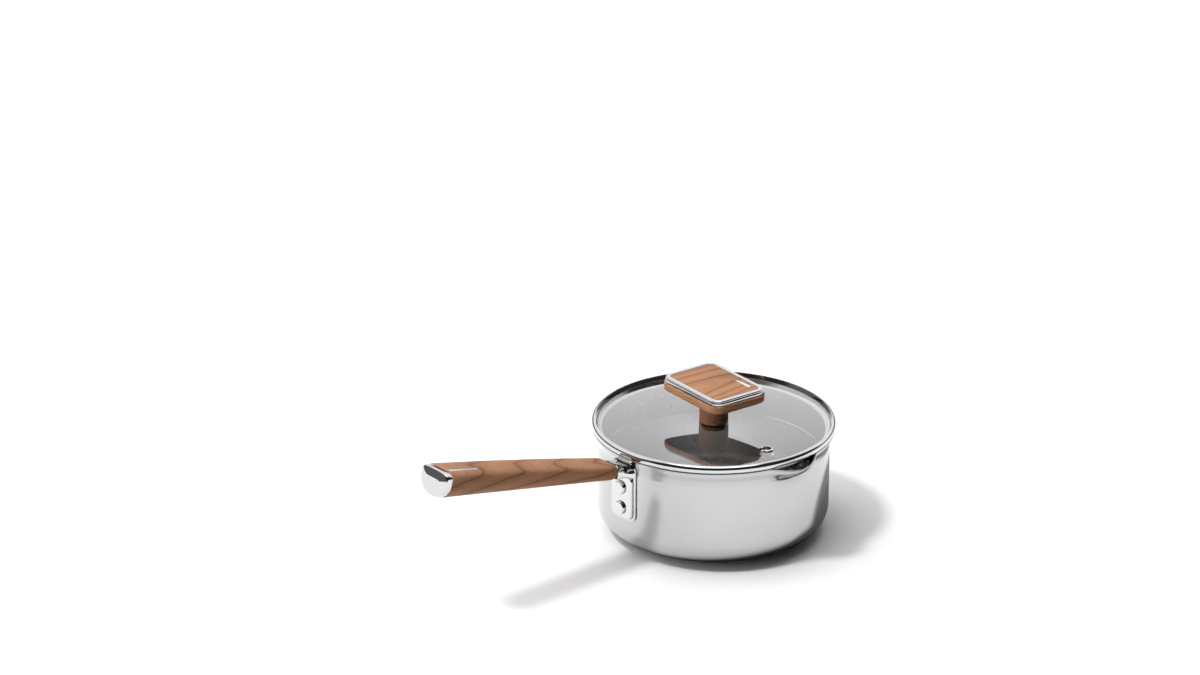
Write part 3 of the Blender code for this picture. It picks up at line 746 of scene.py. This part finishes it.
def make_rivets(finishes):
    """The two rivets through pad, strap and wall."""
    for name, height in RIVET_HEIGHTS.items():
        face = PAD_R + 0.15
        wall = WALL_R - SHEET - 0.2
        top = face + 1.7
        head = filleted([(2.0, top, 0), (4.8, top, 0.9), (4.8, face, 0)], False, 6)
        foot = filleted([(2.3, wall, 0), (3.6, wall, 0.15), (3.6, wall - 1.1, 0.6),
                         (1.0, wall - 1.1, 0)], False, 5)
        profile = [(0.0, top)] + head + [(2.3, face)] + foot + [(0.0, wall - 1.1)]
        mesh = turned_mesh(name, profile, SMALL_ROUND)
        turn = Matrix.Translation((0, 0, height * MM)) @ Matrix.Rotation(math.pi / 2, 4, "Y")
        mesh.transform(turn)
        piece(f"{name}_fine", mesh, [finishes["bright"]], "pan", name)


# ---------------------------------------------------------------- handle

def handle_frame():
    """The matrix (in millimetres) that carries the handle's own frame into place."""
    turn = Matrix.Rotation(-math.radians(GRIP_TILT), 4, "Y")
    return Matrix.Translation((GRIP_START[0], 0, GRIP_START[1])) @ turn


def handle_ring(along, outline):
    """An outline of the handle's section, placed in the pan's frame."""
    return [handle_frame() @ Vector((along, y, z)) for y, z in outline]


def power(value, exponent):
    return math.copysign(abs(value) ** exponent, value)


def grip_top(along):
    share = along / GRIP_LENGTH
    return 6.0 + 3.8 * share + 0.8 * 4 * share * (1 - share)


def grip_bottom(along):
    return -6.0 - 3.8 * along / GRIP_LENGTH


def grip_half_width(along):
    return 11.6 + 2.5 * along / GRIP_LENGTH


def grip_outline(along, inset=0.0, count=120):
    """The grip's section: a nearly flat top over a rounded, narrower belly."""
    half_width = grip_half_width(along) - inset
    top, bottom = grip_top(along) - inset, grip_bottom(along) + inset
    middle = top - 0.34 * (top - bottom)
    points = []
    for i in range(count):
        angle = math.tau * (i + 0.5) / count
        c, s = math.cos(angle), math.sin(angle)
        squareness = 2 / 3.6 if s > 0 else 2 / 2.3
        reach = (top - middle) if s > 0 else (middle - bottom)
        points.append((half_width * power(c, squareness), middle + reach * power(s, squareness)))
    return points


def inlay_bar(grow, low, high, edge):
    """The bright strip's bar, following the slope of the grip's top."""
    along, across = INLAY_MIDDLE
    slope = math.atan2(grip_top(along + 5) - grip_top(along - 5), 10.0)
    length, width = INLAY_SIZE
    mesh = bar_mesh("inlay", (-length / 2 - grow, -width / 2 - grow, low),
                    (length / 2 + grow, width / 2 + grow, high), edge)
    seat = Matrix.Translation((along, across, grip_top(along) - 0.25))
    place = handle_frame() @ seat @ Matrix.Rotation(-slope, 4, "Y")
    place.translation *= MM
    mesh.transform(place)
    return mesh


def make_handle_grip(finishes):
    """The grip with its rounded front end and the seats for strip, tang, cap and screw."""
    front, deep = 5.0, 2.6
    rings = []
    for step in range(9):
        share = step / 8
        inset = deep * (1 - math.sin(math.acos(1 - share)))
        along = front * share
        rings.append(handle_ring(along, grip_outline(along, inset)))
    for step in range(1, 61):
        along = front + (GRIP_LENGTH - 0.5 - front) * step / 60
        rings.append(handle_ring(along, grip_outline(along)))
    rings.append(handle_ring(GRIP_LENGTH - 0.15, grip_outline(GRIP_LENGTH, 0.1)))
    rings.append(handle_ring(GRIP_LENGTH, grip_outline(GRIP_LENGTH, 0.35)))
    mesh = surface("grip", rings)
    mesh = combined(mesh, inlay_bar(0.15, -1.35, 4.0, 0.02), "DIFFERENCE")
    bore = [handle_ring(s, rounded_rectangle(7.6, -2.6, 2.6, 0.8)) for s in (-5.0, 60.0)]
    mesh = combined(mesh, surface("bore", bore), "DIFFERENCE")
    pocket_outline = rounded_rectangle(9.3, -6.3, 5.8, 3.0)
    pocket = [handle_ring(s, pocket_outline) for s in (GRIP_LENGTH - 9, 160)]
    mesh = combined(mesh, surface("pocket", pocket), "DIFFERENCE")
    for radius, low, high in ((2.4, -20.0, 0.0), (4.3, -20.0, grip_bottom(30.0) + 2.9)):
        start = handle_frame() @ Vector((30.0, 0, low))
        end = handle_frame() @ Vector((30.0, 0, high))
        mesh = combined(mesh, peg(radius, start, end), "DIFFERENCE")
    return piece("handle_grip_fine", mesh, [finishes["grip"]], "pan", "handle_grip")


def make_handle_trim(finishes):
    """The grip's bright strip and its domed end cap."""
    strip = inlay_bar(0.0, -1.2, 0.2, 0.22)
    piece("handle_inlay_strip_fine", strip, [finishes["strip"]], "pan",
          "handle_inlay_strip")
    start, end = GRIP_LENGTH + 0.3, GRIP_LENGTH + CAP_LENGTH
    rings = []
    for inset in (8.0, 4.0, 1.5):
        rings.append(handle_ring(start, grip_outline(start, inset)))
    for along, inset in ((start, 0.62), (start + 0.12, 0.46), (start + 0.4, CAP_INSET)):
        rings.append(handle_ring(along, grip_outline(along, inset)))
    edge = 1.5
    for step in range(9):
        angle = math.pi / 2 * step / 8
        inset = CAP_INSET + edge * (1 - math.cos(angle))
        along = end - 0.9 * edge + 0.9 * edge * math.sin(angle)
        rings.append(handle_ring(along, grip_outline(end, inset)))
    for inset in (2.4, 3.4, 4.6, 6.0, 7.6, 9.0):
        share = 1 - ((9.0 - inset) / (9.0 - 1.7)) ** 2
        rings.append(handle_ring(end + CAP_DOME * share, grip_outline(end, inset)))
    mesh = surface("cap", rings)
    plug_outline = rounded_rectangle(9.0, -6.0, 5.5, 3.0)
    plug = [handle_ring(s, plug_outline) for s in (GRIP_LENGTH - 8.4, start + 2)]
    mesh = combined(mesh, surface("plug", plug), "UNION")
    piece("handle_end_cap_fine", mesh, [finishes["chrome"]], "pan", "handle_end_cap")


# ---------------------------------------------------------------- lid

def strain_pegs():
    """The pegs that punch both groups of straining holes."""
    pegs = []
    for middle in (90.0, 270.0):
        for height, count in HOLE_ROWS:
            for i in range(count):
                angle = math.radians(middle + HOLE_PITCH * (i - (count - 1) / 2))
                way = Vector((math.cos(angle), math.sin(angle), 0))
                rise = Vector((0, 0, height))
                pegs.append(peg(HOLE_R, way * 70 + rise, way * 84 + rise, 36))
    return joined(pegs)


def make_lid_ring(finishes):
    """The lid's rim, seat and skirt, with both groups of straining holes."""
    inner = SKIRT_R - SKIRT_SHEET
    corners = [
        (81.7, BEAD_TOP, 0.2), (BAND_R, BEAD_TOP, 2.75), (BAND_R, BAND_BOTTOM, 0.4),
        (81.7, BAND_BOTTOM, 0.2), (81.7, LEDGE_BOTTOM + 0.5, 0.3),
        (81.1, LEDGE_BOTTOM, 0.2), (SKIRT_R, LEDGE_BOTTOM, 0.3), (SKIRT_R, SKIRT_BOTTOM, 0.3),
        (inner - 0.8, SKIRT_BOTTOM, 0.5), (inner - 0.8, SKIRT_BOTTOM + 1.6, 0.6),
        (inner, SKIRT_BOTTOM + 2.4, 0.6), (inner, LEDGE_TOP, 0.3), (81.2, LEDGE_TOP, 0.0),
        (81.2, GLASS_TOP + 0.1, 0.0), (80.7, GLASS_TOP + 0.12, 0.0),
    ]
    mesh = turned_mesh("ring", filleted(corners), ROUND, closed=True)
    mesh = combined(mesh, strain_pegs(), "DIFFERENCE")
    obj = piece("lid_ring_fine", mesh, [finishes["ring"], finishes["skirt"]], "lid",
                "lid_ring", 38.0)
    # The skirt and the ledge's inner face get the darker steel, which is painted shade.
    for face in obj.data.polygons:
        middle = face.center
        below = middle.z < (LEDGE_BOTTOM - 0.5) * MM
        if below or math.hypot(middle.x, middle.y) < 78.2 * MM:
            face.material_index = 1
    return obj


def make_glass(finishes):
    """The glass disc and the clear seal round it."""
    bottom = GLASS_TOP - GLASS_THICK
    seal = [
        (81.05, GLASS_TOP - 0.2), (81.05, LEDGE_TOP + 0.12), (77.2, LEDGE_TOP + 0.12),
        (77.2, bottom - 0.12), (80.55, bottom - 0.12), (80.55, GLASS_TOP - 0.2),
    ]
    piece("glass_seal_fine", turned_mesh("seal", seal, ROUND, True), [finishes["seal"]], "lid",
          "glass_seal")
    corners = [
        (GLASS_R, GLASS_TOP, 0.5), (GLASS_R, bottom, 0.5), (3.3, bottom, 0.2), (3.3, GLASS_TOP, 0.2),
    ]
    mesh = turned_mesh("glass", filleted(corners), ROUND, True)
    hole = peg(3.8, (0, VENT_RADIUS, 70), (0, VENT_RADIUS, 85), 48)
    mesh = combined(mesh, hole, "DIFFERENCE")
    piece("lid_glass_fine", mesh, [finishes["glass"]], "lid", "lid_glass")


def make_vent(finishes):
    """The eyelet of the steam vent."""
    bottom = GLASS_TOP - GLASS_THICK
    corners = [
        (3.1, GLASS_TOP + 1.05, 0.3), (4.3, GLASS_TOP + 0.95, 0.7), (5.15, GLASS_TOP + 0.12, 0.1),
        (3.6, GLASS_TOP + 0.12, 0.0), (3.6, bottom - 0.12, 0.0), (4.8, bottom - 0.12, 0.1),
        (4.7, bottom - 0.8, 0.4), (2.8, bottom - 0.8, 0.4), (2.8, GLASS_TOP + 0.7, 0.4),
    ]
    mesh = turned_mesh("vent", filleted(corners), SMALL_ROUND, True)
    mesh.transform(Matrix.Translation((0, VENT_RADIUS * MM, 0)))
    piece("vent_grommet_fine", mesh, [finishes["chrome"]], "lid", "vent_grommet")


# ---------------------------------------------------------------- knob

def make_knob_body(finishes):
    """The wooden plate, the boss above it and the neck below, as one piece."""
    plate = [(20.0, PLATE_BOTTOM), (6.0, PLATE_BOTTOM)]
    plate += filleted([(5.0, PLATE_BOTTOM, 0), (0.0, PLATE_BOTTOM, 1.1), (0.0, PLATE_TOP, 0.45),
                       (BOSS_INSET - 0.1, PLATE_TOP, 0)], False, 6)
    plate += [(BOSS_INSET, PLATE_TOP + 0.01), (BOSS_INSET + 0.05, KNOB_TOP - 1.6),
              (BOSS_INSET + 0.3, KNOB_TOP - 1.5), (20.0, KNOB_TOP - 1.5)]
    mesh = oblong_turned("plate", PLATE, plate)
    corners = [
        (NECK_R + 3.4, PLATE_BOTTOM + 0.4, 0), (NECK_R, PLATE_BOTTOM - 0.15, 1.2),
        (NECK_R, NECK_BOTTOM, 0.6), (4.0, NECK_BOTTOM, 0),
    ]
    neck = [(0.0, PLATE_BOTTOM + 0.5)] + filleted(corners, False, 7) + [(0.0, NECK_BOTTOM)]
    mesh = combined(mesh, turned_mesh("neck", neck, 128), "UNION")
    mesh = combined(mesh, peg(3.8, (0, 0, 70), (0, 0, 92)), "DIFFERENCE")
    piece("knob_body_fine", mesh, [finishes["plate"]], "lid", "knob_body", 36.0)


def oblong_frame(name, size, width, bottom, top, edge):
    """A flat oblong frame with rounded upper edges."""
    corners = [(0.0, top, edge), (0.0, bottom, 0.2), (width, bottom, 0.1), (width, top, edge * 0.4)]
    return oblong_turned(name, size, filleted(corners, True, 7), closed=True)


def make_knob_trims(finishes):
    """The knob's two bright frames."""
    lower = oblong_frame("lower", LOWER_TRIM, LOWER_TRIM_WIDTH, PLATE_TOP + 0.4, KNOB_TOP - 1.75, 0.6)
    piece("knob_lower_trim_fine", lower, [finishes["chrome"]], "lid",
          "knob_lower_trim", 50.0)
    upper = oblong_frame("upper", TOP_FRAME, TOP_FRAME_WIDTH, KNOB_TOP - 1.3, KNOB_TOP, 1.0)
    piece("knob_top_frame_fine", upper, [finishes["chrome"]], "lid",
          "knob_top_frame", 50.0)


def make_knob_inlay(finishes):
    """The knob's wood top and the bright strip in it."""
    rim = filleted([(17.0, KNOB_TOP - 1.35, 0), (0.0, KNOB_TOP - 1.35, 0.1),
                    (0.0, KNOB_TOP - 0.1, 0.25), (17.0, KNOB_TOP - 0.1, 0)], False, 4)
    mesh = oblong_turned("panel", TOP_INLAY, rim)
    gap = 0.12
    pocket = bar_mesh("pocket", (STRIP_LOW[0] - gap, STRIP_LOW[1] - gap, KNOB_TOP - 0.9),
                      (STRIP_HIGH[0] + gap, STRIP_HIGH[1] + gap, KNOB_TOP + 2), 0.02)
    mesh = combined(mesh, pocket, "DIFFERENCE")
    piece("knob_top_inlay_fine", mesh, [finishes["plate"]], "lid", "knob_top_inlay")
    bar = bar_mesh("bar", (*STRIP_LOW, KNOB_TOP - 0.8), (*STRIP_HIGH, KNOB_TOP - 0.02), 0.15)
    piece("knob_inlay_strip_fine", bar, [finishes["strip"]], "lid",
          "knob_inlay_strip")


def finish_hidden_nodes(finishes):
    """Give the part meshes that stay in use their finish."""
    chosen = {
        "base_core": "core", "base_cap": "satin", "handle_tang": "satin", "handle_screw": "satin",
        "knob_insert": "brass", "knob_seal_washer": "rubber", "knob_lower_gasket": "rubber",
        "knob_steel_washer": "satin", "knob_screw": "satin",
    }
    for name, finish in chosen.items():
        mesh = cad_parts[name].data
        mesh.materials.clear()
        mesh.materials.append(finishes[finish])


# ---------------------------------------------------------------- studio

def make_floor():
    """A wide pale floor with a fine matt surface, and a painted shadow beside the pan that only mirrored
    rays see, so the steel mirrors the floor darker there.
    """
    material, tree, shader = new_material("pale_floor_with_painted_shadow")
    grain = noise(tree, object_place(tree), 300.0, 3.0)
    tint = ramp(tree, grain, ((0.3, (0.75, 0.75, 0.75)), (0.7, (0.77, 0.77, 0.77))))
    rays = node(tree, "ShaderNodeLightPath").outputs
    # Painted shadow: a capsule beside the pan along -X where mirrored rays see the floor darker, a shadow
    # painted into the floor's colour for the steel to mirror.
    x, y, _ = node(tree, "ShaderNodeSeparateXYZ", {0: object_place(tree)}).outputs
    near, far = (calc(tree, "ADD", x, reach * MM) for reach in PAINTED_SHADOW_REACH)
    beyond = calc(tree, "ADD", calc(tree, "MAXIMUM", near, 0.0), calc(tree, "MINIMUM", far, 0.0))
    away = calc(tree, "SQRT", calc(tree, "ADD", calc(tree, "MULTIPLY", beyond, beyond),
                                   calc(tree, "MULTIPLY", y, y)))
    outside_painted_shadow = remap(tree, away, PAINTED_SHADOW_R[0] * MM, PAINTED_SHADOW_R[1] * MM, PAINTED_SHADOW_LEFT, 1.0, True)
    painted_shadow_in_mirrors = calc(tree, "MULTIPLY", rays["Is Glossy Ray"], calc(tree, "SUBTRACT", 1.0, outside_painted_shadow))
    bounce = remap(tree, rays["Is Diffuse Ray"], 0.0, 1.0, 1.0, FLOOR_BOUNCE)
    dimmed = node(
        tree, "ShaderNodeVectorMath",
        {0: tint, "Scale": calc(tree, "MULTIPLY", bounce, calc(tree, "SUBTRACT", 1.0, painted_shadow_in_mirrors))},
        operation="SCALE",
    ).outputs[0]
    tree.links.new(dimmed, shader.inputs["Base Color"])
    shader.inputs["Roughness"].default_value = 1.0
    shader.inputs["Specular IOR Level"].default_value = 0.0
    ring = []
    for i in range(96):
        angle = math.tau * i / 96
        ring.append((FLOOR_R * math.cos(angle), FLOOR_R * math.sin(angle), -0.05))
    mesh = surface("floor", [[(0.0, 0.0, -0.05)], ring], end_cap=False)
    if mesh.polygons[0].normal.z < 0:
        mesh.flip_normals()
    mesh.materials.append(material)
    floor = new_object("floor", mesh)


def make_world():
    """A studio bright on one side and overhead, dark on the other and low down.

    The backdrop itself is seen plain white.
    """
    world = bpy.data.worlds.new("studio")
    bpy.context.scene.world = world
    world.use_nodes = True
    tree = world.node_tree
    back = tree.nodes["Background"]
    back.inputs["Color"].default_value = (1.0, 1.0, 1.0, 1.0)
    way = node(tree, "ShaderNodeTexCoord").outputs["Generated"]
    side = node(
        tree, "ShaderNodeVectorMath", {0: way, 1: tuple(LIGHT_SIDE.normalized())},
        operation="DOT_PRODUCT",
    ).outputs["Value"]
    along, _, height = node(tree, "ShaderNodeSeparateXYZ", {0: way}).outputs
    lift = calc(tree, "MULTIPLY", calc(tree, "MAXIMUM", along, 0.0), 0.4)
    raised = calc(tree, "SUBTRACT", height, lift)
    bright = remap(tree, side, -0.05, 0.25, 0.0, BRIGHT_WALL, True)
    bright = calc(tree, "MULTIPLY", bright, remap(tree, raised, *LOW_EDGE, LOW_SHARE, 1.0, True))
    above = remap(tree, height, *OVERHEAD_EDGE, DARK_WALL, OVERHEAD, True)
    light = calc(tree, "MAXIMUM", bright, above)
    path = node(tree, "ShaderNodeLightPath").outputs
    fill_side = node(
        tree, "ShaderNodeVectorMath", {0: way, 1: tuple(FILL_SIDE.normalized())},
        operation="DOT_PRODUCT",
    ).outputs["Value"]
    fill = remap(tree, fill_side, 0.2, 0.9, 0.0, HANDLE_FILL, True)
    light = calc(tree, "ADD", light, calc(tree, "MULTIPLY", fill, path["Is Diffuse Ray"]))
    seen = path["Is Camera Ray"]
    plain = calc(tree, "MULTIPLY", light, calc(tree, "SUBTRACT", 1.0, seen))
    tree.links.new(calc(tree, "ADD", plain, seen), back.inputs["Strength"])


def make_sun():
    """The one hard light; polished pieces do not mirror it as a spot."""
    lamp = bpy.data.lights.new("key", "SUN")
    lamp.energy = SUN_POWER
    lamp.angle = math.radians(SUN_ANGLE)
    obj = bpy.data.objects.new("key", lamp)
    obj.rotation_euler = SUN_FROM.to_track_quat("Z", "Y").to_euler()
    obj.visible_glossy = False
    bpy.context.scene.collection.objects.link(obj)


def make_camera():
    """The view of the picture."""
    camera = bpy.data.cameras.new("camera")
    camera.lens = LENS
    camera.sensor_width = 36.0
    camera.clip_start = 0.05
    camera.clip_end = 50.0
    obj = bpy.data.objects.new("camera", camera)
    obj.location = CAMERA_AT
    obj.rotation_euler = CAMERA_LOOK.to_track_quat("-Z", "Y").to_euler()
    bpy.context.scene.collection.objects.link(obj)
    bpy.context.scene.camera = obj


def make_studio():
    """Floor, lights, camera and the render settings that belong to the look."""
    make_floor()
    make_world()
    make_sun()
    make_camera()
    scene = bpy.context.scene
    scene.view_settings.view_transform = "Standard"
    scene.cycles.use_denoising = True
    scene.cycles.caustics_reflective = False
    scene.cycles.max_bounces = 14
    scene.cycles.glossy_bounces = 10
    scene.cycles.transparent_max_bounces = 16


def make_pieces():
    """Every piece of the pan and the lid."""
    finishes = make_finishes()
    make_pot_shell(finishes)
    make_handle_bracket(finishes)
    make_rivets(finishes)
    make_handle_grip(finishes)
    make_handle_trim(finishes)
    make_lid_ring(finishes)
    make_glass(finishes)
    make_vent(finishes)
    make_knob_body(finishes)
    make_knob_trims(finishes)
    make_knob_inlay(finishes)
    finish_hidden_nodes(finishes)


make_pieces()
make_studio()
